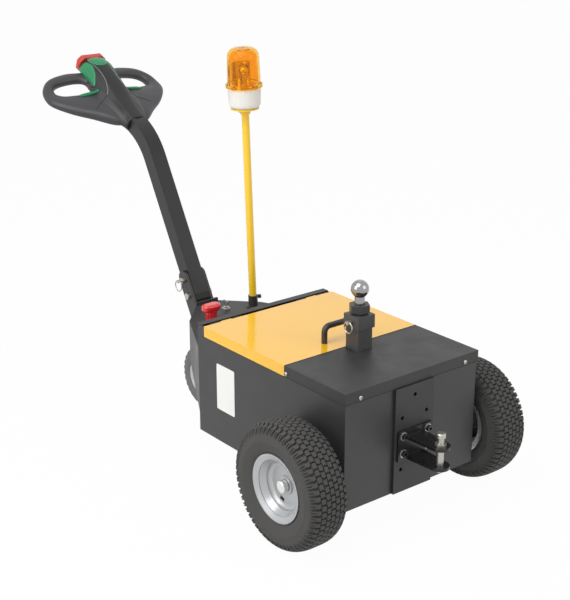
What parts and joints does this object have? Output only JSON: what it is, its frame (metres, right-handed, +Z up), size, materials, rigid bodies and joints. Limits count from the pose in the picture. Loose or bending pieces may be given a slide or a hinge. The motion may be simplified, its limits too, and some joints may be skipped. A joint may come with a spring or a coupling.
{
  "type": "electric tugger",
  "caption": "Walk-behind electric tugger with turf-tyred drive wheels, a swivel caster, a hinged battery lid, a butterfly tiller, a tow jaw, a tow ball and an amber beacon.",
  "frame": {"origin": "on the floor, at the middle of the length and width", "axes": "+Y along the vehicle towards the tiller, -Y towards the hitch, +X to the right hand of someone at the hitch who faces the tiller, +Z up"},
  "size_m": [0.744, 1.6614, 1.1184],
  "materials": {
    "body_black": "satin powder coat",
    "lid_black": "satin powder coat",
    "steel_black": "black paint",
    "lid_yellow": "gloss paint",
    "mast_yellow": "gloss paint",
    "zinc": "zinc plated",
    "ball_chrome": "polished",
    "rim_silver": "silver paint",
    "tire_black": "moulded rubber",
    "caster_grey": "moulded rubber",
    "caster_rim_pale": "moulded",
    "cast_grey": "painted casting",
    "battery_case": "moulded",
    "beacon_white": "moulded",
    "beacon_amber": "clear amber plastic",
    "lamp_silver": "bright",
    "control_red": "moulded",
    "control_green": "moulded",
    "grip_black": "fine textured moulding"
  },
  "bodies": {
    "chassis": {"tub": "body_black", "deck_lid": "lid_black", "rear_rim": "lid_black", "lid_hinge": "steel_black", "nose_shell": "body_black", "nose_top": "lid_black", "nose_floor": "lid_black", "drive_axle": "cast_grey", "transaxle": "cast_grey", "batteries": "battery_case", "hitch_plate": "lid_black", "tow_jaw": "steel_black", "tow_pin": "zinc", "hitch_bolts": "zinc", "receiver_post": "steel_black", "ball_mount": "ball_chrome", "cross_pin": "zinc", "tiller_bracket": "steel_black", "pivot_bolt": "zinc", "lock_pin": "zinc", "caster_plate": "zinc", "mast_socket": "steel_black", "mast": "mast_yellow", "beacon_plate": "mast_yellow", "beacon_base": "beacon_white", "beacon_lens": "beacon_amber", "beacon_lamp": "lamp_silver", "beacon_lead": "battery_case", "emergency_stop": "control_red", "key_switch": "zinc"},
    "left_wheel": {"left_tire": "tire_black", "left_rim": "rim_silver"},
    "right_wheel": {"right_tire": "tire_black", "right_rim": "rim_silver"},
    "caster_fork": {"caster_fork": "zinc"},
    "caster_wheel": {"caster_tire": "caster_grey", "caster_rim": "caster_rim_pale"},
    "lid": {"battery_lid": "lid_yellow", "lid_handle": "steel_black"},
    "tiller": {"tiller_arm": "steel_black", "tiller_head": "grip_black", "head_cap": "control_red", "head_panels": "control_green", "head_levers": "control_green"}
  },
  "joints": [
    {"name": "left_wheel_spin", "type": "hinge", "parent": "chassis", "child": "left_wheel", "pos_m": [-0.3155, -0.60374, 0.1667], "axis": [1, 0, 0], "continuous": true},
    {"name": "right_wheel_spin", "type": "hinge", "parent": "chassis", "child": "right_wheel", "pos_m": [0.3155, -0.60374, 0.1667], "axis": [1, 0, 0], "continuous": true},
    {"name": "caster_swivel", "type": "hinge", "parent": "chassis", "child": "caster_fork", "pos_m": [0, 0.15426, 0.1], "axis": [0, 0, 1], "continuous": true},
    {"name": "caster_roll", "type": "hinge", "parent": "caster_fork", "child": "caster_wheel", "pos_m": [0, 0.20126, 0.1], "axis": [1, 0, 0], "continuous": true},
    {"name": "lid_open", "type": "hinge", "parent": "chassis", "child": "lid", "pos_m": [0, -0.11874, 0.412], "axis": [-1, 0, 0], "range_deg": [0, 95]},
    {"name": "tiller_raise", "type": "hinge", "parent": "chassis", "child": "tiller", "pos_m": [0, 0.23226, 0.361], "axis": [1, 0, 0], "range_deg": [0, 29]}
  ]
}
